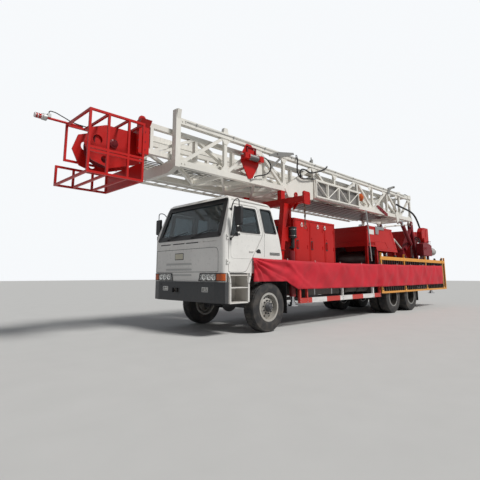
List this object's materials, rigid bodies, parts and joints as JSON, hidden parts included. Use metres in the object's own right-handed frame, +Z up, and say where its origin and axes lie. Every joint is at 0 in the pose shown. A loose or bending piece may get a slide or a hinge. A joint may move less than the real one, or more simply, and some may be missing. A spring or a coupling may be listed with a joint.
{
  "type": "truck-mounted workover rig",
  "caption": "Well-servicing rig on a three-axle truck: telescoping lattice mast laid forward over a white cab, red cabinets, folded side platforms, jacks and a hanging cloth.",
  "frame": {"origin": "on the ground, at the middle of the rig's length and width", "axes": "+X towards the front of the truck and the mast's crown, +Y to the left, +Z up"},
  "size_m": [15.88, 3.09, 4.62],
  "materials": {
    "chassis_black": "satin",
    "axle_grey": "rough",
    "frame_maroon": "satin",
    "cab_white": "gloss",
    "pane": "clear",
    "trim_black": "matte",
    "bumper_grey": "satin",
    "lamp_clear": "clear",
    "rig_red": "gloss",
    "platform_yellow": "satin",
    "cloth_red": "woven",
    "tyre_rubber": "matte",
    "rim_silver": "satin",
    "mast_cream": "satin",
    "beacon_white": "gloss",
    "ram_steel": "polished"
  },
  "bodies": {
    "chassis": {"chassis_frame": "chassis_black", "axles": "axle_grey", "leaf_springs": "chassis_black", "fuel_tanks": "chassis_black", "deck": "frame_maroon", "engine_block": "axle_grey", "cab_shell": "cab_white", "cab_glass": "pane", "cab_interior": "trim_black", "bumper": "bumper_grey", "lamps": "lamp_clear", "step_wells": "bumper_grey", "side_guards": "rig_red", "mast_rest": "rig_red", "engine_cabinet": "rig_red", "cabinet_doors": "rig_red", "drawworks_house": "rig_red", "drawworks_drum": "axle_grey", "mast_base_frame": "frame_maroon", "rear_housing": "rig_red", "control_box": "frame_maroon", "platforms": "platform_yellow", "banner": "cloth_red", "jack_barrels": "frame_maroon"},
    "steer_left": {"knuckle_left": "axle_grey"},
    "steer_right": {"knuckle_right": "axle_grey"},
    "wheel_front_left": {"tyre_front_left": "tyre_rubber", "rim_front_left": "rim_silver"},
    "wheel_front_right": {"tyre_front_right": "tyre_rubber", "rim_front_right": "rim_silver"},
    "wheel_middle_left": {"tyre_middle_left": "tyre_rubber", "rim_middle_left": "rim_silver"},
    "wheel_middle_right": {"tyre_middle_right": "tyre_rubber", "rim_middle_right": "rim_silver"},
    "wheel_rear_left": {"tyre_rear_left": "tyre_rubber", "rim_rear_left": "rim_silver"},
    "wheel_rear_right": {"tyre_rear_right": "tyre_rubber", "rim_rear_right": "rim_silver"},
    "door_left": {"door_left": "cab_white", "door_glass_left": "pane", "mirror_left": "trim_black"},
    "door_right": {"door_right": "cab_white", "door_glass_right": "pane", "mirror_right": "trim_black"},
    "mast_lower": {"mast_sides": "mast_cream", "mast_back": "mast_cream", "mast_end_frame": "mast_cream", "mast_ladder": "mast_cream", "mast_winch": "rig_red"},
    "mast_upper": {"upper_mast": "mast_cream", "crown_frame": "rig_red", "crown_guard": "rig_red", "beacon": "beacon_white"},
    "raise_barrels": {"raise_barrels": "frame_maroon"},
    "raise_stages": {"raise_stages": "ram_steel"},
    "raise_rods": {"raise_rods": "ram_steel"},
    "jack_front_left": {"jack_leg_front_left": "ram_steel"},
    "jack_front_right": {"jack_leg_front_right": "ram_steel"},
    "jack_rear_left": {"jack_leg_rear_left": "ram_steel"},
    "jack_rear_right": {"jack_leg_rear_right": "ram_steel"}
  },
  "joints": [
    {"name": "steering_left", "type": "hinge", "parent": "chassis", "child": "steer_left", "pos_m": [3.36, 0.9, 0.535], "axis": [0, 0, 1], "range_deg": [-30, 30]},
    {"name": "steering_right", "type": "hinge", "parent": "chassis", "child": "steer_right", "pos_m": [3.36, -0.9, 0.535], "axis": [0, 0, 1], "range_deg": [-30, 30]},
    {"name": "wheel_front_left_spin", "type": "hinge", "parent": "steer_left", "child": "wheel_front_left", "pos_m": [3.36, 1.09, 0.535], "axis": [0, 1, 0], "continuous": true},
    {"name": "wheel_front_right_spin", "type": "hinge", "parent": "steer_right", "child": "wheel_front_right", "pos_m": [3.36, -1.09, 0.535], "axis": [0, 1, 0], "continuous": true},
    {"name": "wheel_middle_left_spin", "type": "hinge", "parent": "chassis", "child": "wheel_middle_left", "pos_m": [-2.9, 0.92, 0.535], "axis": [0, 1, 0], "continuous": true},
    {"name": "wheel_middle_right_spin", "type": "hinge", "parent": "chassis", "child": "wheel_middle_right", "pos_m": [-2.9, -0.92, 0.535], "axis": [0, 1, 0], "continuous": true},
    {"name": "wheel_rear_left_spin", "type": "hinge", "parent": "chassis", "child": "wheel_rear_left", "pos_m": [-4.33, 0.92, 0.535], "axis": [0, 1, 0], "continuous": true},
    {"name": "wheel_rear_right_spin", "type": "hinge", "parent": "chassis", "child": "wheel_rear_right", "pos_m": [-4.33, -0.92, 0.535], "axis": [0, 1, 0], "continuous": true},
    {"name": "door_left_open", "type": "hinge", "parent": "chassis", "child": "door_left", "pos_m": [4.622, 1.262, 1.75], "axis": [0, 0, -1], "range_deg": [0, 70]},
    {"name": "door_right_open", "type": "hinge", "parent": "chassis", "child": "door_right", "pos_m": [4.622, -1.262, 1.75], "axis": [0, 0, 1], "range_deg": [0, 70]},
    {"name": "mast_raise", "type": "hinge", "parent": "chassis", "child": "mast_lower", "pos_m": [-6.18, 0, 3.3], "axis": [0, -1, 0], "range_deg": [0, 93.5]},
    {"name": "mast_extend", "type": "slide", "parent": "mast_lower", "child": "mast_upper", "axis": [1, 0, 0], "range_m": [0, 8]},
    {"name": "ram_tilt", "type": "hinge", "parent": "chassis", "child": "raise_barrels", "pos_m": [-5.58, 0, 2.45], "axis": [0, -1, 0], "range_deg": [0, 58.5]},
    {"name": "ram_first_stage", "type": "slide", "parent": "raise_barrels", "child": "raise_stages", "axis": [0.6839, 0, 0.7295], "range_m": [0, 0.584]},
    {"name": "ram_second_stage", "type": "slide", "parent": "raise_stages", "child": "raise_rods", "axis": [0.6839, 0, 0.7295], "range_m": [0, 0.584]},
    {"name": "jack_front_left_lower", "type": "slide", "parent": "chassis", "child": "jack_front_left", "axis": [0, 0, -1], "range_m": [0, 0.495]},
    {"name": "jack_front_right_lower", "type": "slide", "parent": "chassis", "child": "jack_front_right", "axis": [0, 0, -1], "range_m": [0, 0.495]},
    {"name": "jack_rear_left_lower", "type": "slide", "parent": "chassis", "child": "jack_rear_left", "axis": [0, 0, -1], "range_m": [0, 0.495]},
    {"name": "jack_rear_right_lower", "type": "slide", "parent": "chassis", "child": "jack_rear_right", "axis": [0, 0, -1], "range_m": [0, 0.495]}
  ],
  "couplings": [
    {"joint": "steering_right", "follows": "steering_left", "ratio": 1},
    {"joint": "ram_tilt", "follows": "mast_raise", "ratio": 0.62},
    {"joint": "ram_first_stage", "follows": "mast_raise", "m_per_rad": 0.355},
    {"joint": "ram_second_stage", "follows": "mast_raise", "m_per_rad": 0.355}
  ]
}
